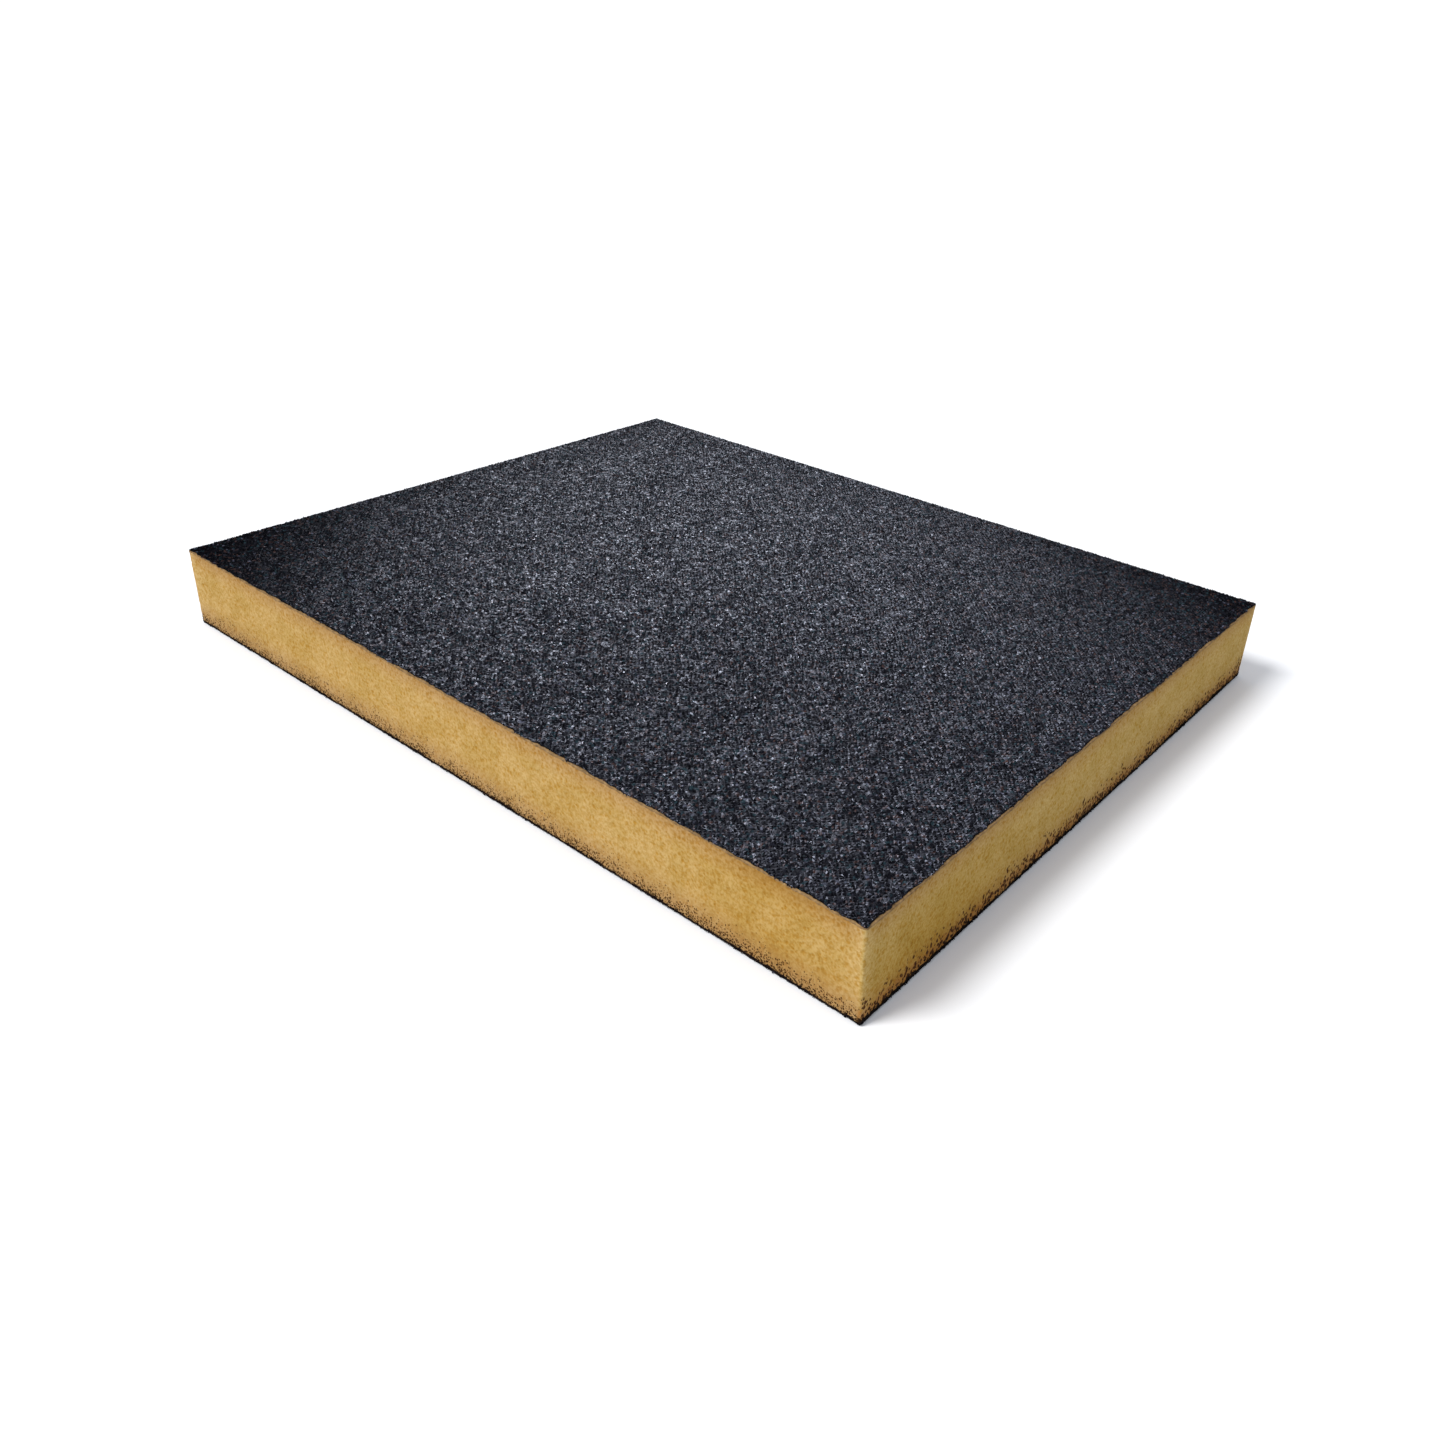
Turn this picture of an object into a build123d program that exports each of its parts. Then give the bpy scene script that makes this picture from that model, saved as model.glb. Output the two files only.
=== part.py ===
from build123d import *
import os

# Flexible foam sanding block, coated on both large faces.
#
# A slab of open-cell polyurethane foam carries the same two-layer abrasive coat on each
# large face: a thin resin bond coat on the foam, and one layer of grains set in it.
# The block is cut from a coated sheet, so all five layers share one outline.
#
# Frame: +X along the long side, +Y along the width, +Z through the thickness.
# The origin is the middle of the lower working face, so the block lies on Z = 0.
# Sizes are in millimetres.

# ---- driving dimensions ----
block_length = 120.0  # X
block_width = 98.0  # Y
block_thickness = 12.0  # Z, from grit to grit
corner_radius = 0.5  # the four upright corners left by the cutting blade
bond_thickness = 0.12  # resin that holds the grains to the foam
grit_thickness = 0.28  # one layer of coarse grains

# ---- levels of the layers, from the bottom up ----
foam_thickness = block_thickness - 2 * (bond_thickness + grit_thickness)
lower_grit_level = 0.0
lower_bond_level = lower_grit_level + grit_thickness
foam_level = lower_bond_level + bond_thickness
upper_bond_level = foam_level + foam_thickness
upper_grit_level = upper_bond_level + bond_thickness

# ---- lower working face: grains that meet the work, then the bond coat above them ----
with BuildPart() as lower_grit_coat:
    with BuildSketch(Plane.XY.offset(lower_grit_level)):
        RectangleRounded(block_length, block_width, corner_radius)
    extrude(amount=grit_thickness)
lower_grit_coat.part.label = "lower_grit_coat"

with BuildPart() as lower_bond_coat:
    with BuildSketch(Plane.XY.offset(lower_bond_level)):
        RectangleRounded(block_length, block_width, corner_radius)
    extrude(amount=bond_thickness)
lower_bond_coat.part.label = "lower_bond_coat"

# ---- foam core: the soft slab that is pressed between the two coats ----
with BuildPart() as foam_core:
    with BuildSketch(Plane.XY.offset(foam_level)):
        RectangleRounded(block_length, block_width, corner_radius)
    extrude(amount=foam_thickness)
foam_core.part.label = "foam_core"

# ---- upper working face: bond coat on the foam, then the grains on top ----
with BuildPart() as upper_bond_coat:
    with BuildSketch(Plane.XY.offset(upper_bond_level)):
        RectangleRounded(block_length, block_width, corner_radius)
    extrude(amount=bond_thickness)
upper_bond_coat.part.label = "upper_bond_coat"

with BuildPart() as upper_grit_coat:
    with BuildSketch(Plane.XY.offset(upper_grit_level)):
        RectangleRounded(block_length, block_width, corner_radius)
    extrude(amount=grit_thickness)
upper_grit_coat.part.label = "upper_grit_coat"

# ---- one STEP file for each piece ----
os.makedirs("parts", exist_ok=True)
export_step(lower_grit_coat.part, "parts/lower_grit_coat.step")
export_step(lower_bond_coat.part, "parts/lower_bond_coat.step")
export_step(foam_core.part, "parts/foam_core.step")
export_step(upper_bond_coat.part, "parts/upper_bond_coat.step")
export_step(upper_grit_coat.part, "parts/upper_grit_coat.step")
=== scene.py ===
import math

import bmesh
import bpy
import numpy as np
from mathutils import Matrix, Vector


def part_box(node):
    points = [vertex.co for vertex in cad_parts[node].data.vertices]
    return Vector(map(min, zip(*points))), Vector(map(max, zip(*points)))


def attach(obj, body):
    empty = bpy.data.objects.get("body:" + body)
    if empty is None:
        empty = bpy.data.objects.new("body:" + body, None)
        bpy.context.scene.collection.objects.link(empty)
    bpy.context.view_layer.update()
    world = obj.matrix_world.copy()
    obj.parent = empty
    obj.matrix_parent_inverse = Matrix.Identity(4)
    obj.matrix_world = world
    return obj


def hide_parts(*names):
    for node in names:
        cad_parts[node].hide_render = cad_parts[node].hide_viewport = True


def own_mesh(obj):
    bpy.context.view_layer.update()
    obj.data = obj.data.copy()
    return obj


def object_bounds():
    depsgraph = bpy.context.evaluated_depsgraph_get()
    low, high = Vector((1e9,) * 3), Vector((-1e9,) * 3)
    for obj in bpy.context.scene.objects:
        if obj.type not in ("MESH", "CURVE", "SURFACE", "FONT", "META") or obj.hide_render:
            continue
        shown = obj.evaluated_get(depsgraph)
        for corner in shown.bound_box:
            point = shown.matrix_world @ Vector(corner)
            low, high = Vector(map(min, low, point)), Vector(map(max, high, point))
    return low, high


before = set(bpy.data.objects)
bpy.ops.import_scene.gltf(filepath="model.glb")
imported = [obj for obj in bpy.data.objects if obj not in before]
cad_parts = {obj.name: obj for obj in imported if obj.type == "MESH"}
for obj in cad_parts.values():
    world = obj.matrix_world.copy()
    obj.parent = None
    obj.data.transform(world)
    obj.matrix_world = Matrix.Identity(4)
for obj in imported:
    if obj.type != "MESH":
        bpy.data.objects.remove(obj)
cad_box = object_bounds()

# Foam sanding block: a yellow foam core, with a resin bond coat and a black grit coat on each face.
# Meshes are worked out in millimetres and scaled to metres when they are made. The front is -Y.
MM = 0.001

block_lo, block_hi = (np.array(corner) / MM for corner in cad_box)
HALF_X = (block_hi[0] - block_lo[0]) / 2
HALF_Y = (block_hi[1] - block_lo[1]) / 2
TOP = block_hi[2]
FOAM_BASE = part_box("foam_core")[0].z / MM
FOAM_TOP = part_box("foam_core")[1].z / MM
GRIT_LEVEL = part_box("upper_grit_coat")[0].z / MM  # where the upper grains meet the resin
CORNER_RADIUS = 0.3  # mm, of the upright corners
# the real block's ends are cut a few tenths of a millimetre out of square
FOOT_OUT = 0.42  # mm the +X end stands out at its foot
HEAD_IN = 0.30  # mm it draws in at the top of its front corner
BACK_END_OUT = 0.70  # mm the -X end is longer at its front corner


# ---------------------------------------------------------------- mesh helpers


def out_of_square(points):
    """Points moved by the small errors of the cut at the block's two ends."""
    moved = np.array(points, float)
    x, y, z = moved.T
    front = (HALF_Y - y) / (2 * HALF_Y)
    up = z / TOP
    # the errors die away quickly from each end
    near_end = np.clip(x / HALF_X, 0, 1) ** 4
    far_end = np.clip(-x / HALF_X, 0, 1) ** 4
    near_shift = near_end * ((1 - up) * FOOT_OUT - up * front * HEAD_IN)
    moved[:, 0] += near_shift - far_end * front * BACK_END_OUT
    return moved


def new_piece(name, points, faces, smooth=False):
    """A mesh object from points in millimetres."""
    mesh = bpy.data.meshes.new(name)
    mesh.from_pydata((out_of_square(points) * MM).tolist(), [], faces)
    mesh.polygons.foreach_set("use_smooth", [smooth] * len(mesh.polygons))
    mesh.update()
    piece = bpy.data.objects.new(name, mesh)
    bpy.context.scene.collection.objects.link(piece)
    return piece


def point_value(piece, name, values):
    """Stores one number for each point of a piece, for its material to read."""
    layer = piece.data.attributes.new(name, "FLOAT", "POINT")
    layer.data.foreach_set("value", np.asarray(values, np.float32))


def point_vector(piece, name, vectors):
    """Stores one vector for each point of a piece, for its material to read."""
    layer = piece.data.attributes.new(name, "FLOAT_VECTOR", "POINT")
    layer.data.foreach_set("vector", np.asarray(vectors, np.float32).ravel())


def smooth_noise(rng, shape, sizes, weights):
    """Sum of smoothly interpolated random grids, about -1 to 1; sizes are in cells."""
    total = np.zeros(shape)
    for size, weight in zip(sizes, weights):
        coarse = rng.uniform(-1, 1, [int(n / size) + 3 for n in shape])
        rows, cols = (np.arange(n) / size for n in shape)
        i, j = rows.astype(int), cols.astype(int)
        s, t = rows - i, cols - j
        s, t = (s * s * (3 - 2 * s))[:, None], (t * t * (3 - 2 * t))[None, :]
        near = coarse[np.ix_(i, j)] * (1 - t) + coarse[np.ix_(i, j + 1)] * t
        far = coarse[np.ix_(i + 1, j)] * (1 - t) + coarse[np.ix_(i + 1, j + 1)] * t
        total += weight * (near * (1 - s) + far * s)
    return total


def loop_noise(rng, count, sizes, weights):
    """Smooth noise along a closed loop of points, about -1 to 1; sizes are in points."""
    total = np.zeros(count)
    for size, weight in zip(sizes, weights):
        knots = max(4, int(round(count / size)))
        coarse = rng.uniform(-1, 1, knots)
        place = np.arange(count) * knots / count
        i = place.astype(int)
        t = place - i
        t = t * t * (3 - 2 * t)
        total += weight * (coarse[i % knots] * (1 - t) + coarse[(i + 1) % knots] * t)
    return total


def outline(pitch):
    """Points, outward normals and path lengths round the outline, anticlockwise from the +X side."""
    ax, ay, r = HALF_X - CORNER_RADIUS, HALF_Y - CORNER_RADIUS, CORNER_RADIUS
    points, normals = [], []
    corners = [(ax, ay, 0), (-ax, ay, 90), (-ax, -ay, 180), (ax, -ay, 270)]
    arc_steps = max(3, int(round(r * math.pi / 2 / pitch)))
    for corner, (cx, cy, start) in enumerate(corners):
        for step in range(arc_steps + 1):
            turn = math.radians(start + 90 * step / arc_steps)
            n = np.array([math.cos(turn), math.sin(turn)])
            points.append(np.array([cx, cy]) + r * n)
            normals.append(n)
        # and the straight side that leads to the next corner
        next_x, next_y, next_start = corners[(corner + 1) % len(corners)]
        turn = math.radians(next_start)
        n = np.array([math.cos(turn), math.sin(turn)])
        end = np.array([next_x, next_y]) + r * n
        begin = points[-1]
        steps = int(round(np.linalg.norm(end - begin) / pitch))
        for step in range(1, steps):
            points.append(begin + (end - begin) * step / steps)
            normals.append(n)
    points, normals = np.array(points), np.array(normals)
    gaps = np.linalg.norm(np.roll(points, -1, 0) - points, axis=1)
    return points, normals, np.concatenate([[0], np.cumsum(gaps)[:-1]])


def closed_bands(columns, rows):
    """Faces of a closed body of stacked rings of points: quads between the rings, and two caps."""
    ring = np.arange(columns)
    after = (ring + 1) % columns
    quads = [
        np.stack([low + ring, low + after, low + columns + after, low + columns + ring], 1)
        for low in range(0, (rows - 1) * columns, columns)
    ]
    top_ring = (rows - 1) * columns + ring
    return np.concatenate(quads).tolist() + [ring[::-1].tolist(), top_ring.tolist()]


def flip(points):
    """The same piece for the lower face: turned over about the X axis."""
    return np.asarray(points) * [1, -1, -1] + [0, 0, TOP]


# ---------------------------------------------------------------- grit coats

GRIT_PITCH = 0.30  # mm between relief points
GRIT_MEAN = TOP - 0.14  # level between peaks and hollows
PEAK = (0.01, 0.13)  # mm a grain's peak stands above that level
HOLLOW = (0.02, 0.13)  # mm the gaps between grains lie below it
ROW_BENDS = (7, 23)  # sizes of the bends in the rows of relief points, in points
ROW_WANDER = (0.2, 0.5)  # mm that the rows wander by those bends
POINT_WANDER = 0.11  # mm that each point is moved besides
HOLD_POINTS = 12  # points in from the border where the rows wander fully
BORDER_BITE = 0.10  # mm that the border draws in at random
BITE_REACH = 1.5  # mm from a corner where the border draws in fully
BORDER_DROP = 0.1  # mm that the border lies lower at random
BAY_SAMPLES = 600  # samples of the border's curve along each side
BAY_SIZES = (3, 8, 20)  # lengths of the bays in that curve, in samples of 0.2 mm
BAY_WEIGHTS = (0.5, 0.6, 0.45)
BAY_DEPTH = 0.22  # mm that the bays of the upper coat draw in
LOWER_BAY_DEPTH = 0.06
FIELD_SPACING = 1.14  # mm between the proud grains on the face
FIELD_SIZES = (0.24, 0.42)  # mm across
FIELD_MARGIN = 0.25  # mm that they stay clear of the border
RIM_PITCH = 0.25  # mm between the grains packed along the border
RIM_INSET = 0.11  # mm that they stand in from it
RIM_SIZES = (0.20, 0.34)  # mm across, upper coat
LOWER_RIM_SIZES = (0.20, 0.30)
GRAIN_KINDS = 16  # shapes that the grains of one piece are made of
GRAIN_SPOTS = 8  # points whose convex hull is one shape


def border_bays(seed, depth):
    """Shallow bays where the coat's border draws in: one smooth curve for each side."""
    rng = np.random.default_rng(seed)
    waves = [loop_noise(rng, BAY_SAMPLES, BAY_SIZES, BAY_WEIGHTS) for _ in range(4)]
    return [depth * np.clip(0.5 + wave, 0, 1.2) for wave in waves]


def bay_at(bays, x, y):
    """How far the border draws in at points on or near it, in mm."""
    by_end = HALF_X - np.abs(x) < HALF_Y - np.abs(y)
    side = np.where(by_end, 0, 2) + (np.where(by_end, x, y) > 0)
    along = (np.where(by_end, y, x) + HALF_X) / (2 * HALF_X) * (BAY_SAMPLES - 1)
    values = [np.interp(along, np.arange(BAY_SAMPLES), curve) for curve in bays]
    return np.choose(side, values)


def grit_slab_points(rng, bays):
    """Relief points of the working side, peaks and hollows by turns, with a ragged border."""
    nx, ny = (int(round(2 * half / GRIT_PITCH)) + 1 for half in (HALF_X, HALF_Y))
    x, y = np.meshgrid(np.linspace(-HALF_X, HALF_X, nx), np.linspace(-HALF_Y, HALF_Y, ny))
    inside = np.ones_like(x)
    inside[[0, -1], :] = inside[:, [0, -1]] = 0
    # rows wander, and each point is moved a little, so that no grid shows; the border stays put
    rows_in, columns_in = (np.minimum(np.arange(n), n - 1 - np.arange(n)) for n in (ny, nx))
    hold = np.clip(np.minimum.outer(rows_in, columns_in) / HOLD_POINTS, 0, 1)
    x = x + hold * smooth_noise(rng, x.shape, ROW_BENDS, ROW_WANDER)
    y = y + hold * smooth_noise(rng, y.shape, ROW_BENDS, ROW_WANDER)
    x = x + inside * rng.uniform(-POINT_WANDER, POINT_WANDER, x.shape)
    y = y + inside * rng.uniform(-POINT_WANDER, POINT_WANDER, y.shape)
    # pull the square corners in to the round ones
    px, py = np.abs(x) - (HALF_X - CORNER_RADIUS), np.abs(y) - (HALF_Y - CORNER_RADIUS)
    at_corner = (px > 0) & (py > 0)
    share = np.where(at_corner, np.maximum(px, py) / np.hypot(px, py), 1)
    x = np.where(at_corner, np.sign(x) * (HALF_X - CORNER_RADIUS + px * share), x)
    y = np.where(at_corner, np.sign(y) * (HALF_Y - CORNER_RADIUS + py * share), y)
    # the border is bitten in unevenly where grains are missing, and less beside the corners
    bite = rng.uniform(0.0, BORDER_BITE, x.shape) + bay_at(bays, x, y)
    from_corner = np.maximum(HALF_X - np.abs(x), HALF_Y - np.abs(y))
    bite = bite * np.clip(from_corner / BITE_REACH, 0.1, 1)
    edge_x = np.abs(x) > HALF_X - 0.5 * GRIT_PITCH
    edge_y = np.abs(y) > HALF_Y - 0.5 * GRIT_PITCH
    x = x - np.sign(x) * edge_x * bite
    y = y - np.sign(y) * edge_y * bite
    peaks = np.add.outer(np.arange(ny), np.arange(nx)) % 2 == 0
    high, low = rng.uniform(*PEAK, x.shape), -rng.uniform(*HOLLOW, x.shape)
    z = GRIT_MEAN + np.where(peaks, high, low)
    z = np.where(inside > 0, z, GRIT_MEAN - rng.uniform(0, BORDER_DROP, x.shape))
    return x, y, np.minimum(z, TOP), peaks


def grit_slab(name, seed, lower, bays):
    """One coat of grains: a closed slab whose working side is a field of small rough pyramids."""
    rng = np.random.default_rng(seed)
    x, y, z, peaks = grit_slab_points(rng, bays)
    ny, nx = x.shape
    index = np.arange(ny * nx).reshape(ny, nx)
    a, b, c, d = index[:-1, :-1], index[:-1, 1:], index[1:, 1:], index[1:, :-1]
    # each square is split from hollow to hollow, so that the grain at its peak keeps flat sides
    from_peak = peaks[:-1, :-1, None]
    first = np.where(from_peak, np.stack([a, b, d], -1), np.stack([a, b, c], -1))
    second = np.where(from_peak, np.stack([b, c, d], -1), np.stack([a, c, d], -1))
    ring = np.concatenate([index[0, :-1], index[:-1, -1], index[-1, :0:-1], index[:0:-1, 0]])
    top = np.stack([x, y, z], -1).reshape(-1, 3)
    base = top[ring].copy()
    base[:, 2] = GRIT_LEVEL
    points = np.concatenate([top, base])
    foot = len(top) + np.arange(len(ring))
    after = np.roll(np.arange(len(ring)), -1)
    walls = np.stack([ring, foot, foot[after], ring[after]], 1)
    faces = first.reshape(-1, 3).tolist() + second.reshape(-1, 3).tolist()
    faces += walls.tolist() + [foot[::-1].tolist()]
    return new_piece(name, flip(points) if lower else points, faces)


def grain_shapes(rng, count):
    """Angular grains about 1 across, each the convex hull of a few points: (points, triangles)."""
    shapes = []
    for _ in range(count):
        spots = rng.normal(size=(GRAIN_SPOTS, 3))
        spots /= np.linalg.norm(spots, axis=1)[:, None]
        spots *= rng.uniform(0.38, 0.56, (GRAIN_SPOTS, 1))
        bm = bmesh.new()
        for spot in spots:
            bm.verts.new(spot)
        hull = bmesh.ops.convex_hull(bm, input=bm.verts)
        loose = [g for g in hull["geom_interior"] if isinstance(g, bmesh.types.BMVert)]
        bmesh.ops.delete(bm, geom=loose, context="VERTS")
        bmesh.ops.recalc_face_normals(bm, faces=bm.faces)
        bm.verts.index_update()
        points = np.array([v.co for v in bm.verts])
        triangles = np.array([[v.index for v in f.verts] for f in bm.faces])
        shapes.append((points, triangles))
        bm.free()
    return shapes


def random_turns(rng, count):
    """Random rotation matrices."""
    q = rng.normal(size=(count, 4))
    q /= np.linalg.norm(q, axis=1)[:, None]
    w, x, y, z = q.T
    return np.stack([
        1 - 2 * (y * y + z * z), 2 * (x * y - z * w), 2 * (x * z + y * w),
        2 * (x * y + z * w), 1 - 2 * (x * x + z * z), 2 * (y * z - x * w),
        2 * (x * z - y * w), 2 * (y * z + x * w), 1 - 2 * (x * x + y * y),
    ], 1).reshape(-1, 3, 3)


def many_grains(seed, centres, sizes, ceiling=None):
    """Points, faces and tints of many separate faceted grains, each with one random tint."""
    rng = np.random.default_rng(seed)
    shapes = grain_shapes(rng, GRAIN_KINDS)
    kinds = rng.integers(0, len(shapes), len(centres))
    turns = random_turns(rng, len(centres))
    tints = rng.uniform(0, 1, len(centres))
    points, faces, values = [], [], []
    first = 0
    for kind, (shape, triangles) in enumerate(shapes):
        chosen = np.flatnonzero(kinds == kind)
        placed = np.einsum("nij,pj->npi", turns[chosen], shape) * sizes[chosen, None, None]
        placed += centres[chosen, None, :]
        if ceiling is not None:
            over = placed[:, :, 2].max(1) - ceiling
            placed[:, :, 2] -= np.maximum(over, 0)[:, None]
        starts = first + len(shape) * np.arange(len(chosen))
        faces.append((starts[:, None, None] + triangles[None]).reshape(-1, 3))
        points.append(placed.reshape(-1, 3))
        values.append(np.repeat(tints[chosen], len(shape)))
        first += len(shape) * len(chosen)
    return np.concatenate(points), np.concatenate(faces).tolist(), np.concatenate(values)


def coat_grains(name, seed, lower, bays):
    """The proud grains of one coat: scattered over the face, and packed along its border."""
    rng = np.random.default_rng(seed)
    nx, ny = int(2 * HALF_X / FIELD_SPACING), int(2 * HALF_Y / FIELD_SPACING)
    x, y = np.meshgrid((np.arange(nx) + 0.5) / nx * 2 - 1, (np.arange(ny) + 0.5) / ny * 2 - 1)
    x = (x + rng.uniform(-0.95, 0.95, x.shape) / nx) * (HALF_X - FIELD_MARGIN)
    y = (y + rng.uniform(-0.95, 0.95, y.shape) / ny) * (HALF_Y - FIELD_MARGIN)
    field_sizes = rng.uniform(*FIELD_SIZES, x.size)
    z = GRIT_MEAN - 0.02 + rng.uniform(-0.05, 0.03, x.size)
    field = np.stack([x.ravel(), y.ravel(), z], 1)
    points, normals, _ = outline(RIM_PITCH)
    bay = bay_at(bays, points[:, 0], points[:, 1])
    inset = RIM_INSET + bay + rng.uniform(-0.07, 0.07, len(points))
    rim_sizes = rng.uniform(*(LOWER_RIM_SIZES if lower else RIM_SIZES), len(points))
    # the upper rim's grains stand higher where a bay takes them in from the foam's edge
    lift = 0.03 + (0.05 if lower else 0.45 * bay) + rng.uniform(-0.04, 0.05, len(points))
    rim = np.column_stack([points - normals * inset[:, None], GRIT_LEVEL + lift])
    centres = np.concatenate([field, rim])
    sizes = np.concatenate([field_sizes, rim_sizes])
    points, faces, tints = many_grains(seed + 1, centres, sizes, ceiling=TOP)
    if lower:
        points = flip(points)
    piece = new_piece(name, points, faces)
    point_value(piece, "tint", tints)
    return piece


# ---------------------------------------------------------------- bond coats

FILM_PITCH = 0.2  # mm between the points of a film's outline
CREEP_LENGTHS = (1.8, 4, 9)  # lengths of the waves in a film's edge, in points
CREEP_WEIGHTS = (0.7, 0.6, 0.4)
RUN_LENGTHS = (2.5, 7)  # lengths of the runs of thicker resin at the foot, in points
RUN_WEIGHTS = (0.7, 0.6)
END_SOAK = 0.26  # mm more that the lower resin reaches up the +X end
SIDE_SOAK = 0.06  # mm more that it reaches up the other sides


def bond_film(name, seed, lower):
    """Resin film between foam and grains; its edge creeps a little way over the foam's side."""
    rng = np.random.default_rng(seed)
    points, normals, _ = outline(FILM_PITCH)
    count = len(points)
    creep = 0.12 + 0.24 * loop_noise(rng, count, CREEP_LENGTHS, CREEP_WEIGHTS)
    creep = 0.5 * (creep + rng.uniform(-0.05, 0.05, count))
    if lower:
        creep = creep + np.where(normals[:, 0] > 0.9, END_SOAK, SIDE_SOAK)
        runs = loop_noise(rng, count, RUN_LENGTHS, RUN_WEIGHTS)
        creep = creep + 0.12 * np.maximum(runs, 0)
    creep = np.maximum(creep, 0.0)
    proud = 0.02 + 0.015 * loop_noise(rng, count, [3], [1])

    def ring(offset, level):
        offset = np.broadcast_to(offset, count)
        level = np.broadcast_to(level, count)
        return np.column_stack([points + normals * offset[:, None], level])

    rings = [
        ring(-0.35, FOAM_TOP),
        ring(-0.12, FOAM_TOP - 0.5 * creep),
        ring(-0.02, FOAM_TOP - creep - 0.02),
        ring(proud, FOAM_TOP - 0.7 * creep),
        ring(proud, FOAM_TOP + 0.5 * (GRIT_LEVEL - FOAM_TOP)),
        ring(-0.04, GRIT_LEVEL + 0.01),
        ring(-0.3, GRIT_LEVEL + 0.01),
    ]
    faces = closed_bands(count, len(rings))
    stacked = np.concatenate(rings)
    return new_piece(name, flip(stacked) if lower else stacked, faces, smooth=True)


# ---------------------------------------------------------------- foam core

FOAM_PITCH = 0.25  # mm between the points of the foam's sides
PIT_COUNT = 6500  # cell pits round the four sides
PIT_RADII = (0.14, 0.30)  # mm
PIT_DEPTHS = (0.03, 0.11)  # mm
SEAM_FADE = 20  # points beside the start of the outline where the unevenness fades out
EDGE_FADE = 0.3  # mm from the foam's faces where pits and unevenness fade out
CORNER_HIGHLIGHT_REACH = 2.2  # mm from an upright corner where a painted highlight makes the foam paler
# where the foam is soaked orange beside the front corner: middle and spread, in mm from the corner
END_SOAKED = (12, 16)
FRONT_SOAKED = (11, 9)


def soaked(points, levels):
    """How orange the foam is, 0 to 1, by level and outline point: most beside the front corner."""
    from_end, from_front = HALF_X - points[:, 0], points[:, 1] + HALF_Y
    on_end, on_front = from_end < CORNER_RADIUS, from_front < CORNER_RADIUS
    end_share = on_end * np.exp(-(((from_front - END_SOAKED[0]) / END_SOAKED[1]) ** 2))
    front_share = on_front * 0.8 * np.exp(-(((from_end - FRONT_SOAKED[0]) / FRONT_SOAKED[1]) ** 2))
    # the end is soaked most at its foot, and the front at its foot and head
    t = np.clip((13 - levels) / 10.5, 0, 1)[:, None]
    end_profile = t * t * (3 - 2 * t)
    front_profile = 0.35 + 0.65 * np.clip(np.abs(levels - 7) / 4, 0, 1)[:, None]
    return end_profile * end_share[None, :] + front_profile * front_share[None, :]


def foam_body(name, seed):
    """The foam slab: sides with cell pits and a gentle unevenness from the cut."""
    rng = np.random.default_rng(seed)
    points, normals, path = outline(FOAM_PITCH)
    count = len(points)
    rows = int(round((FOAM_TOP - FOAM_BASE) / FOAM_PITCH)) + 1
    levels = np.linspace(FOAM_BASE, FOAM_TOP, rows)
    wave = smooth_noise(rng, (rows, count), [7, 22], [0.03, 0.03])
    wave += smooth_noise(rng, (rows, count), [2], [0.012])
    # fade the noise out where the loop closes on itself
    from_seam = np.minimum(np.arange(count), count - np.arange(count))
    wave = wave * np.minimum(1, from_seam / SEAM_FADE)[None, :]
    pits = np.zeros((rows, count))
    length = path[-1] + FOAM_PITCH
    for _ in range(PIT_COUNT):
        s, z = rng.uniform(0, length), rng.uniform(FOAM_BASE + 0.1, FOAM_TOP - 0.1)
        radius, deep = rng.uniform(*PIT_RADII), rng.uniform(*PIT_DEPTHS)
        low, high = (round((z + side * radius - FOAM_BASE) / FOAM_PITCH) for side in (-1, 1))
        left, right = (round((s + side * radius) / FOAM_PITCH) for side in (-1, 1))
        in_reach = np.arange(max(low, 0), min(high, rows - 1) + 1)
        r, c = np.meshgrid(in_reach, np.arange(left, right + 1), indexing="ij")
        away = np.hypot(levels[r] - z, c * FOAM_PITCH - s) / radius
        pit = deep * np.clip(1 - away * away, 0, 1)
        np.maximum.at(pits, (r, c % count), pit)
    from_faces = np.minimum(levels - FOAM_BASE, FOAM_TOP - levels)
    fade = np.clip(from_faces / EDGE_FADE, 0, 1)[:, None]
    depth = (wave + pits) * fade + 0.01
    ring_xy = points[None] - normals[None] * depth[:, :, None]
    z = np.broadcast_to(levels[:, None, None], (rows, count, 1))
    stacked = np.concatenate([ring_xy, z], 2).reshape(-1, 3)
    piece = new_piece(name, stacked, closed_bands(count, rows), smooth=True)
    for cap in (-1, -2):
        piece.data.polygons[cap].use_smooth = False
    rest = np.concatenate([np.broadcast_to(points[None], (rows, count, 2)), z], 2).reshape(-1, 3)
    point_vector(piece, "rest", rest)
    point_value(piece, "pit", (pits / 0.15).ravel())
    point_value(piece, "soak", soaked(points, levels).ravel())
    corner_gap = np.maximum(HALF_X - np.abs(points[:, 0]), HALF_Y - np.abs(points[:, 1]))
    corner_highlight = np.clip(1 - corner_gap / CORNER_HIGHLIGHT_REACH, 0, 1)
    point_value(piece, "corner_highlight", np.broadcast_to(corner_highlight, (rows, count)).ravel())
    on_end = (HALF_X - points[:, 0] < CORNER_RADIUS).astype(float)
    point_value(piece, "on_end", np.broadcast_to(on_end, (rows, count)).ravel())
    return piece


CRUMB_TRIES = 4  # crumbs tried at each point of the outline
CRUMB_SHARE = 0.62  # share of them that is kept
CRUMB_MEAN_HEIGHT = 0.33  # mm above the foam's foot
CRUMB_HIGHEST = 1.7  # mm
CRUMB_SIZES = (0.07, 0.2)  # mm across


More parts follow.
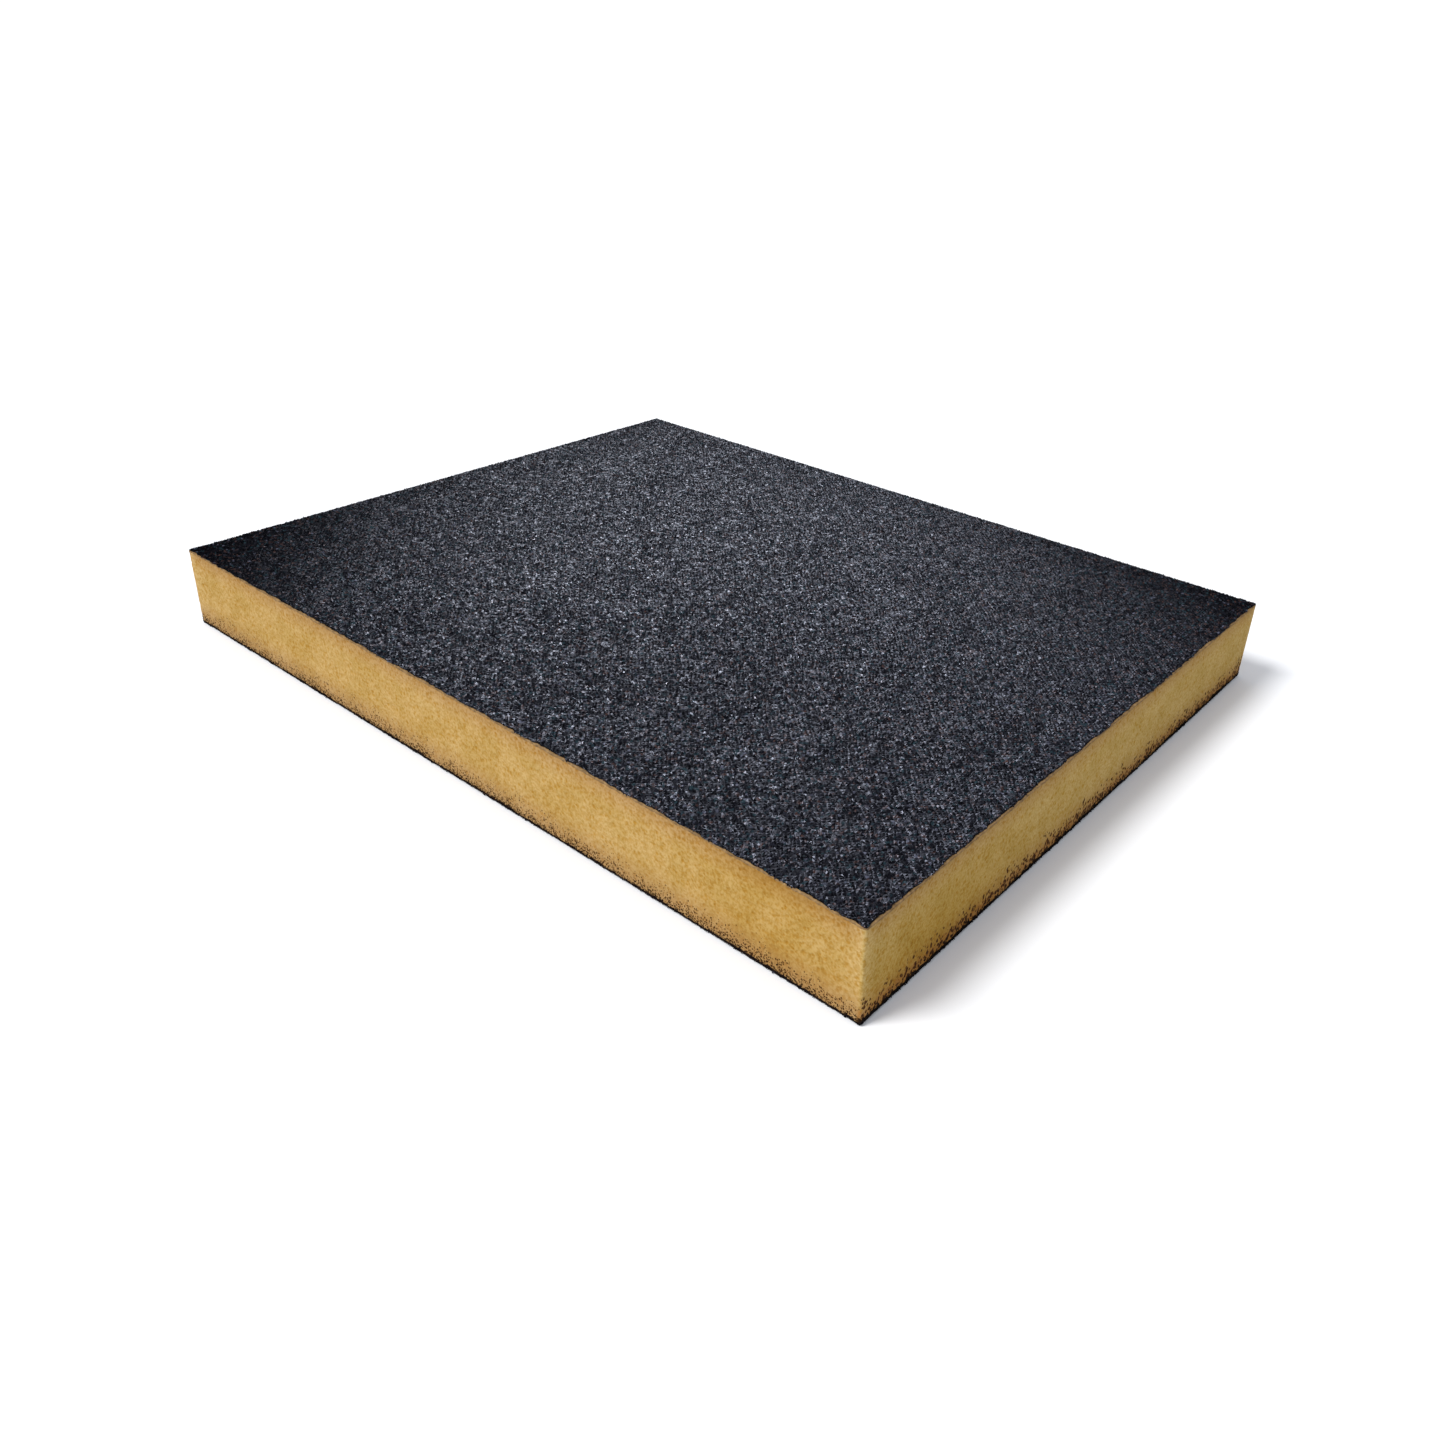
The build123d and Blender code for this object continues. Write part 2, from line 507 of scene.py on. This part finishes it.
def stray_grains(name, seed):
    """Small grains and crumbs of resin caught in the foam's outer cells beside the lower coat."""
    rng = np.random.default_rng(seed)
    points, normals, _ = outline(RIM_PITCH)
    spots = np.repeat(np.arange(len(points)), CRUMB_TRIES)
    height = FOAM_BASE + rng.exponential(CRUMB_MEAN_HEIGHT, len(spots))
    low_enough = height < FOAM_BASE + CRUMB_HIGHEST
    kept = low_enough & (rng.uniform(0, 1, len(spots)) < CRUMB_SHARE)
    spots, height = spots[kept], height[kept]
    along = rng.uniform(-0.12, 0.12, len(spots))[:, None]
    inwards = rng.uniform(0.0, 0.06, len(spots))[:, None]
    side = np.stack([-normals[:, 1], normals[:, 0]], 1)
    xy = points[spots] + side[spots] * along - normals[spots] * inwards
    sizes = rng.uniform(*CRUMB_SIZES, len(spots))
    made, faces, tints = many_grains(seed + 1, np.column_stack([xy, height]), sizes)
    piece = new_piece(name, made, faces)
    point_value(piece, "tint", tints)
    return piece


# ---------------------------------------------------------------- materials

GRAIN_SIZE = 0.33  # mm between the middles of the coat's grains
GRAIN_DOME = 0.36  # how steeply a grain's surface falls from its middle, per mm
GRAIN_TILT = (0.9, 0.9, 0.2)  # how far a whole grain leans in x, y and z
GRIT_SHEEN = (0.74, 0.745, 1.0)
WARM_GRAIN = (0.060, 0.030, 0.024)
COOL_GRAIN = (0.014, 0.034, 0.042)
# painted shade in the crevices between grains
CREVICE_SHADE = (0.001, 0.001, 0.0015)
GRIME = (0.003, 0.003, 0.004)

# the foam's own colours
FOAM_DEEP = (0.458, 0.303, 0.102)
FOAM_PALE = (0.505, 0.343, 0.137)
FOAM_PINKISH = (0.425, 0.262, 0.112)
FOAM_HEAD = (0.345, 0.205, 0.085)
# painted highlight beside the upright corners
FOAM_CORNER_HIGHLIGHT = (0.56, 0.39, 0.175)
# colours that the foam's own are multiplied by
SOAKED_TINT = (0.84, 0.75, 0.42)
END_SHADE_TINT = (0.96, 1.0, 0.94)
# painted shade in the foam's open cells and pits
PORE_SHADE_TINT = (0.76, 0.56, 0.10)
# painted shade in the low parts of the fine relief
SHADE_TINT = (0.84, 0.77, 0.58)
# resin in the foam beside the lower coat
SIDE_STAIN = (0.300, 0.165, 0.080)
END_STAIN = (0.270, 0.090, 0.026)
SPECK_BLACK = (0.012, 0.004, 0.001)
SPECK_BROWN = (0.062, 0.020, 0.005)


class Nodes:
    """Adds linked shader nodes to one new material."""

    def __init__(self, name):
        self.material = bpy.data.materials.new(name)
        self.material.use_nodes = True
        self.tree = self.material.node_tree
        self.shader = self.tree.nodes["Principled BSDF"]

    def add(self, kind, out=0, props=None, **sockets):
        """One node's output. Sockets are named, with _ for a space, or given by number as i0."""
        node = self.tree.nodes.new("ShaderNode" + kind)
        for key, value in (props or {}).items():
            setattr(node, key, value)
        for key, value in sockets.items():
            self.put(node, key.replace("_", " "), value)
        return node.outputs[out]

    def put(self, node, key, value):
        """Links a socket, or sets its value; the key is its name, or i and its number."""
        by_number = key[0] == "i" and key[1:].isdigit()
        socket = node.inputs[int(key[1:])] if by_number else node.inputs[key]
        if isinstance(value, bpy.types.NodeSocket):
            self.tree.links.new(value, socket)
        else:
            socket.default_value = value

    def math(self, operation, a, b=0.0, clamp=False):
        return self.add("Math", props={"operation": operation, "use_clamp": clamp}, i0=a, i1=b)

    def vector(self, operation, a, b=(0, 0, 0)):
        return self.add("VectorMath", props={"operation": operation}, i0=a, i1=b)

    def scaled(self, vector, factor):
        node = self.tree.nodes.new("ShaderNodeVectorMath")
        node.operation = "SCALE"
        self.put(node, "i0", vector)
        self.put(node, "Scale", factor)
        return node.outputs[0]

    def stored(self, name, out=2):
        """A value stored on the points of a piece, or with out=1 a vector."""
        return self.add("Attribute", out=out, props={"attribute_name": name})

    def voronoi(self, place, scale, **props):
        node = self.tree.nodes.new("ShaderNodeTexVoronoi")
        for key, value in props.items():
            setattr(node, key, value)
        self.put(node, "Vector", place)
        self.put(node, "Scale", scale)
        return node

    def ramp(self, value, stops):
        node = self.tree.nodes.new("ShaderNodeValToRGB")
        elements = node.color_ramp.elements
        while len(elements) < len(stops):
            elements.new(0.5)
        for element, (place, colour) in zip(elements, stops):
            element.position = place
            element.color = (*colour, 1)
        self.put(node, "i0", value)
        return node.outputs[0]

    def step(self, value, low, high):
        """0 at low, 1 at high, smooth between; low may be the larger."""
        node = self.tree.nodes.new("ShaderNodeMapRange")
        node.interpolation_type = "SMOOTHSTEP"
        self.put(node, "Value", value)
        self.put(node, "From Min", low)
        self.put(node, "From Max", high)
        return node.outputs[0]

    def times(self, a, b):
        return self.math("MULTIPLY", a, b)

    def mix(self, share, a, b, blend="MIX"):
        node = self.tree.nodes.new("ShaderNodeMix")
        node.data_type = "RGBA"
        node.blend_type = blend
        self.put(node, "i0", share)
        self.put(node, "i6", a if not isinstance(a, tuple) else (*a, 1))
        self.put(node, "i7", b if not isinstance(b, tuple) else (*b, 1))
        return node.outputs[2]

    def tinted(self, colour, tint):
        return self.mix(1.0, colour, tint, blend="MULTIPLY")

    def finish(self, **sockets):
        for key, value in sockets.items():
            self.put(self.shader, key.replace("_", " "), value)
        return self.material


def grit_material():
    """Black mineral grains in dark resin: facets, painted shade in the crevices, a few grains
    painted pale as glints, a few tinted grains.
    """
    n = Nodes("grit")
    place = n.vector("MULTIPLY", n.add("TexCoord", out=3), (1 / MM, 1 / MM, 0))
    flat = {"voronoi_dimensions": "2D"}
    cells = n.voronoi(place, 1 / GRAIN_SIZE, **flat)
    edges = n.voronoi(place, 1 / GRAIN_SIZE, feature="DISTANCE_TO_EDGE", **flat)
    colour = cells.outputs["Color"]
    pick = n.add("SeparateColor", i0=colour)
    # painted glints: the rarest grains are painted pale, standing in for grains that catch the light
    tone = n.ramp(pick, [
        (0.0, (0.0016, 0.0016, 0.0025)),
        (0.6, (0.0028, 0.0029, 0.0046)),
        (0.88, (0.007, 0.0073, 0.011)),
        (0.96, (0.022, 0.023, 0.033)),
        (1.0, (0.12, 0.125, 0.17)),
    ])
    warmth = n.add("SeparateColor", out=1, i0=colour)
    # single grains lean towards blue-green or towards a warm brown
    tone = n.mix(n.step(warmth, 0.86, 0.98), tone, WARM_GRAIN)
    tone = n.mix(n.step(warmth, 0.13, 0.02), tone, COOL_GRAIN)
    # painted shade: the crevices between grains are darkened in the colour, and made rougher
    shaded_crevice = n.step(edges.outputs["Distance"], 0.10, 0.0)
    base = n.mix(n.times(shaded_crevice, 0.9), tone, CREVICE_SHADE)
    # each grain is a low dome that leans its own way
    away = n.vector("SUBTRACT", place, cells.outputs["Position"])
    dome = n.scaled(away, GRAIN_DOME)
    tilt = n.vector("MULTIPLY", n.vector("SUBTRACT", colour, (0.5, 0.5, 0.5)), GRAIN_TILT)
    facet = n.vector("ADD", n.add("NewGeometry", out=1), n.vector("ADD", dome, tilt))
    grain_rough = n.add("MapRange", Value=pick, To_Min=0.50, To_Max=0.62)
    rough = n.math("ADD", grain_rough, n.times(shaded_crevice, 0.4), clamp=True)
    n.put(n.shader, "Specular Tint", (*GRIT_SHEEN, 1))
    return n.finish(Base_Color=base, Roughness=rough, Normal=n.vector("NORMALIZE", facet), IOR=1.4)


def grain_material(name, tones, rough, shine):
    """Loose-standing grains: one tint for each grain, flat facets, a little grime."""
    n = Nodes(name)
    tone = n.ramp(n.stored("tint"), tones)
    place = n.scaled(n.add("TexCoord", out=3), 1 / MM)
    grime = n.add("TexNoise", Vector=place, Scale=6.0, Detail=3.0)
    base = n.mix(n.step(grime, 0.45, 0.7), tone, GRIME)
    bump = n.add("Bump", Strength=0.35, Distance=0.00002, Height=grime)
    roughness = n.add("MapRange", Value=grime, To_Min=rough[0], To_Max=rough[1])
    n.put(n.shader, "Specular Tint", (*GRIT_SHEEN, 1))
    n.put(n.shader, "Specular IOR Level", shine)
    return n.finish(Base_Color=base, Roughness=roughness, Normal=bump, IOR=1.45)


def bond_material(name, tones):
    """Resin in blotches of three tones, from thick to thin."""
    n = Nodes(name)
    place = n.scaled(n.add("TexCoord", out=3), 1 / MM)
    blotch = n.add("TexNoise", Vector=place, Scale=2.2, Detail=4.0)
    base = n.ramp(blotch, list(zip((0.35, 0.58, 0.76), tones)))
    bump = n.add("Bump", Strength=0.5, Distance=0.00004, Height=blotch)
    rough = n.add("MapRange", Value=blotch, To_Min=0.55, To_Max=0.8)
    n.put(n.shader, "Specular IOR Level", 0.15)
    return n.finish(Base_Color=base, Roughness=rough, Normal=bump)


def foam_material():
    """Yellow open-cell foam: mottled, pored, pinkish at its head and specked black at its foot."""
    n = Nodes("foam")
    place = n.stored("rest", out=1)
    height = n.add("SeparateXYZ", out=2, i0=place)
    foot = n.math("SUBTRACT", height, FOAM_BASE)
    outward = n.stored("on_end")
    fine = n.add("TexNoise", Vector=place, Scale=3.6, Detail=2.0)
    colour = foam_yellow(n, place, height, outward)
    # painted shade: the open cells' shaded insides are painted deeper and more saturated than their
    # rims
    pore_shade = n.tinted(colour, PORE_SHADE_TINT)
    openness = 0
    for scale, strength in ((1.6, 0.60), (2.6, 0.50)):
        cells = n.voronoi(place, scale)
        pick = n.add("SeparateColor", i0=cells.outputs["Color"])
        pore = n.times(n.step(cells.outputs["Distance"], 0.66, 0.12), n.step(pick, 0.0, 0.8))
        colour = n.mix(n.times(pore, strength), colour, pore_shade)
        openness = n.math("ADD", pore, openness)
    # painted shade where the fine relief is low
    colour = n.mix(n.step(fine, 0.62, 0.34), colour, n.tinted(colour, SHADE_TINT))
    # painted shade in the pits of the sides
    colour = n.mix(n.times(n.stored("pit"), 0.30), colour, pore_shade)
    colour = foam_foot(n, place, foot, outward, colour)
    relief = n.math("ADD", n.times(fine, 0.5), n.times(openness, -0.7))
    bump = n.add("Bump", Strength=0.5, Distance=0.00006, Height=relief)
    n.put(n.shader, "Specular IOR Level", 0.08)
    return n.finish(Base_Color=colour, Roughness=0.9, Normal=bump)


def foam_yellow(n, place, height, outward):
    """The foam's colour, with a painted highlight at its upright corners and painted shade on its +X
    end, but without its pores and without the resin at its foot.
    """
    head = n.math("SUBTRACT", FOAM_TOP, height)
    broad = n.add("TexNoise", Vector=place, Scale=0.30, Detail=4.0)
    colour = n.mix(n.step(broad, 0.36, 0.64), FOAM_DEEP, FOAM_PALE)
    # nearer the upper coat the yellow turns pinkish, and brown in the last millimetre
    colour = n.mix(n.times(n.step(head, 3.2, 0.2), 0.8), colour, FOAM_PINKISH)
    colour = n.mix(n.times(n.step(head, 1.3, 0.0), 0.50), colour, FOAM_HEAD)
    colour = n.mix(n.stored("soak"), colour, n.tinted(colour, SOAKED_TINT))
    # painted highlight: the foam is paler beside the rounded upright corners, where they catch the
    # light
    colour = n.mix(n.times(n.stored("corner_highlight"), 0.7), colour, FOAM_CORNER_HIGHLIGHT)
    # painted shade: the +X end, which the key light does not reach, is made a little duller
    return n.mix(outward, colour, n.tinted(colour, END_SHADE_TINT))


def foam_foot(n, place, foot, outward, colour):
    """Adds the resin soaked up from the lower coat to the foam's colour: a stain, and specks."""
    # the stain is pinkish on the sides, and red-brown with an uneven edge on the +X end
    side = n.math("SUBTRACT", 1.0, outward)
    wander = n.add("TexNoise", Vector=place, Scale=0.45, Detail=2.0)
    uneven = n.add("TexNoise", Vector=place, Scale=1.3, Detail=3.0)
    sway = n.times(n.math("SUBTRACT", uneven, 0.5), 2.4)
    band = n.times(n.step(n.math("ADD", foot, sway), 2.0, 1.2), 0.58)
    end_stain = n.math("MAXIMUM", n.times(n.step(foot, 4.6, 0.0), 0.40), band)
    side_stain = n.times(n.step(foot, 4.6, -0.3), 0.60)
    stain = n.math("ADD", n.times(outward, end_stain), n.times(side, side_stain))
    colour = n.mix(stain, colour, n.mix(outward, SIDE_STAIN, END_STAIN))
    # the specks caught in the cells are black and crowded at the foot, brown and sparse above
    end_reach = n.times(wander, 5.4)
    side_reach = n.times(wander, 7.4)
    for scale, widest, share, reach, brown_from, crowding in (
        (2.3, 0.66, outward, end_reach, 0.24, 1.12),
        (3.2, 0.64, outward, end_reach, 0.24, 1.12),
        (4.3, 0.56, side, side_reach, 0.10, 0.96),
        (6.4, 0.52, side, side_reach, 0.10, 0.96),
    ):
        # 0 at the foot and 1 at the end of the specks' reach
        level = n.math("POWER", n.math("MAXIMUM", n.math("DIVIDE", foot, reach), 0.0), 0.6)
        specks = n.voronoi(n.vector("MULTIPLY", place, (1, 1, 0.8)), scale)
        pick = n.add("SeparateColor", i0=specks.outputs["Color"])
        chosen = n.step(n.math("ADD", pick, level), crowding, crowding - 0.12)
        size = n.math("SUBTRACT", widest, n.times(level, 0.22))
        gap = n.math("SUBTRACT", specks.outputs["Distance"], size)
        dark = n.times(n.step(gap, 0.07, -0.08), n.times(chosen, share))
        speck_colour = n.mix(n.step(level, brown_from, brown_from + 0.5), SPECK_BLACK, SPECK_BROWN)
        colour = n.mix(n.times(dark, 0.95), colour, speck_colour)
    return colour


def floor_material():
    """Plain white studio floor."""
    n = Nodes("floor")
    return n.finish(Base_Color=(0.9, 0.9, 0.9, 1), Roughness=0.9)


# ---------------------------------------------------------------- the pieces


def finish_piece(piece, material, body, slot, *replaced):
    """Gives a piece its material and its body, and hides the CAD parts that it replaces; slot is not
    used.
    """
    piece.data.materials.append(material)
    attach(piece, body)
    if replaced:
        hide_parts(*replaced)


# tones of the loose-standing grains, from the commonest to the rarest
mineral = [
    (0.0, (0.003, 0.003, 0.0045)),
    (0.7, (0.007, 0.0072, 0.011)),
    (0.90, (0.020, 0.021, 0.030)),
    (0.94, (0.050, 0.028, 0.028)),
    (0.97, (0.018, 0.045, 0.052)),
    (1.0, (0.14, 0.145, 0.18)),
]
soot = [
    (0.0, (0.003, 0.002, 0.0015)),
    (0.8, (0.008, 0.005, 0.004)),
    (1.0, (0.020, 0.010, 0.005)),
]
# the lower resin is thick and nearly black, and the upper so thin that the foam shows through
thick_tones = [(0.006, 0.004, 0.004), (0.013, 0.007, 0.005), (0.075, 0.030, 0.010)]
thin_tones = [(0.160, 0.095, 0.040), (0.260, 0.158, 0.066), (0.340, 0.215, 0.092)]
grit, foam = grit_material(), foam_material()
thick_resin = bond_material("thick_resin", thick_tones)
thin_resin = bond_material("thin_resin", thin_tones)
grain = grain_material("grain", mineral, (0.45, 0.65), 0.30)
crumb = grain_material("crumb", soot, (0.75, 0.95), 0.02)

upper_bays = border_bays(14, BAY_DEPTH)
lower_bays = border_bays(24, LOWER_BAY_DEPTH)
upper_grit = grit_slab("upper_grit", 11, lower=False, bays=upper_bays)
finish_piece(upper_grit, grit, "upper", "grit", "upper_grit_coat")
upper_grains = coat_grains("upper_proud_grains", 12, lower=False, bays=upper_bays)
finish_piece(upper_grains, grain, "upper", "grit")
upper_bond = bond_film("upper_bond", 13, lower=False)
finish_piece(upper_bond, thin_resin, "upper", "bond", "upper_bond_coat")

lower_grit = grit_slab("lower_grit", 21, lower=True, bays=lower_bays)
finish_piece(lower_grit, grit, "lower", "grit", "lower_grit_coat")
lower_grains = coat_grains("lower_proud_grains", 22, lower=True, bays=lower_bays)
finish_piece(lower_grains, grain, "lower", "grit")
lower_bond = bond_film("lower_bond", 23, lower=True)
finish_piece(lower_bond, thick_resin, "lower", "bond", "lower_bond_coat")

foam_piece = foam_body("foam", 31)
finish_piece(foam_piece, foam, "lower", "foam", "foam_core")
strays = stray_grains("stray_grains", 41)
finish_piece(strays, crumb, "lower", "grit")

# the foam, and the crumbs caught in it, get meshes of their own
for soft in (foam_piece, strays):
    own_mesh(soft)


# ---------------------------------------------------------------- floor, light and camera

FLOOR_HALF = 20.0  # m
KEY_LEVEL = 0.9  # brightness of a white floor under the key light alone
KEY_FROM = (-5.6, -8.4, 12.0)
KEY_SOFTNESS = 21  # degrees across
FILL_LEVEL = 0.67
FILL_COLOUR = (0.945, 0.985, 1.07)
BACKDROP_LEVEL = 1.1
# two weak spots that only give the grains their sheen, at (azimuth, elevation) in degrees
SHEEN_COLOUR = (0.87, 0.92, 1.0)
SHEEN_DISTANCE = 0.8  # m
SHEEN_RADIUS = 0.008  # m
BACK_AT = (140, 34)
BACK_AIM = (13, -11, 12)  # mm
BACK_CONE = 11.0  # degrees
BACK_POWER = 49.0
FRONT_AT = (-40, 20)
FRONT_AIM = (0, 0, 12)
FRONT_CONE = 16.0
FRONT_POWER = 6.0
SENSOR_WIDTH = 36  # mm
LENS = 29.455  # mm
EYE = (0.10125, -0.12113, 0.08214)  # m
LOOKING = (-0.54556, 0.66100, -0.51521)
CAMERA_ROLL = -2.7  # degrees, so that the horizon drops towards the right


def studio():
    """A white floor under soft daylight, a key light and two sheen lights."""
    far = FLOOR_HALF
    corners = [(-far, -far, 0), (far, -far, 0), (far, far, 0), (-far, far, 0)]
    mesh = bpy.data.meshes.new("floor")
    mesh.from_pydata(corners, [], [(0, 1, 2, 3)])
    floor = bpy.data.objects.new("floor", mesh)
    bpy.context.scene.collection.objects.link(floor)
    mesh.materials.append(floor_material())
    # the floor keeps its light off the dark edges' sheen, as a matt paper sweep does
    floor.visible_glossy = False

    world = bpy.data.worlds.new("studio")
    bpy.context.scene.world = world
    world.use_nodes = True
    tree = world.node_tree
    background = tree.nodes["Background"]
    path = tree.nodes.new("ShaderNodeLightPath")
    level = tree.nodes.new("ShaderNodeMapRange")
    tree.links.new(path.outputs["Is Camera Ray"], level.inputs["Value"])
    level.inputs["To Min"].default_value = FILL_LEVEL
    level.inputs["To Max"].default_value = BACKDROP_LEVEL
    tree.links.new(level.outputs[0], background.inputs["Strength"])
    background.inputs["Color"].default_value = (*FILL_COLOUR, 1)
    world.cycles_visibility.glossy = False

    sun = bpy.data.lights.new("key", "SUN")
    sun.energy = KEY_LEVEL * math.pi
    sun.angle = math.radians(KEY_SOFTNESS)
    key = bpy.data.objects.new("key", sun)
    key.rotation_mode = "QUATERNION"
    key.rotation_quaternion = Vector(KEY_FROM).to_track_quat("Z", "Y")
    bpy.context.scene.collection.objects.link(key)

    # the key light leaves the sheen of the grit to the two spots
    key.visible_glossy = False
    sheen_light("back_light", BACK_AT, BACK_AIM, BACK_CONE, BACK_POWER)
    sheen_light("front_light", FRONT_AT, FRONT_AIM, FRONT_CONE, FRONT_POWER)


def sheen_light(name, at, aim, cone, power):
    """A soft-edged spot at (azimuth, elevation), seen only as the sheen that it gives."""
    spot = bpy.data.lights.new(name, "SPOT")
    spot.shadow_soft_size = SHEEN_RADIUS
    spot.spot_size = math.radians(cone)
    spot.spot_blend = 1.0
    spot.energy = power
    spot.color = SHEEN_COLOUR
    lamp = bpy.data.objects.new(name, spot)
    azimuth, elevation = (math.radians(a) for a in at)
    level = math.cos(elevation)
    away = Vector((math.cos(azimuth) * level, math.sin(azimuth) * level, math.sin(elevation)))
    lamp.location = Vector(aim) * MM + away * SHEEN_DISTANCE
    lamp.rotation_mode = "QUATERNION"
    lamp.rotation_quaternion = away.to_track_quat("Z", "Y")
    lamp.visible_diffuse = False
    lamp.visible_camera = False
    bpy.context.scene.collection.objects.link(lamp)


def camera():
    """The camera, in metres, turned a little about the line that it looks along."""
    data = bpy.data.cameras.new("camera")
    data.sensor_width = SENSOR_WIDTH
    data.lens = LENS
    data.clip_start = 0.005
    data.clip_end = 100
    item = bpy.data.objects.new("camera", data)
    bpy.context.scene.collection.objects.link(item)
    forward = Vector(LOOKING).normalized()
    level_right = forward.cross(Vector((0, 0, 1))).normalized()
    roll = Matrix.Rotation(math.radians(CAMERA_ROLL), 3, forward)
    right = roll @ level_right
    up = right.cross(forward)
    basis = Matrix((right, up, -forward)).transposed()
    item.matrix_world = Matrix.Translation(Vector(EYE)) @ basis.to_4x4()
    bpy.context.scene.camera = item


studio()
camera()
bpy.context.scene.view_settings.view_transform = "Standard"
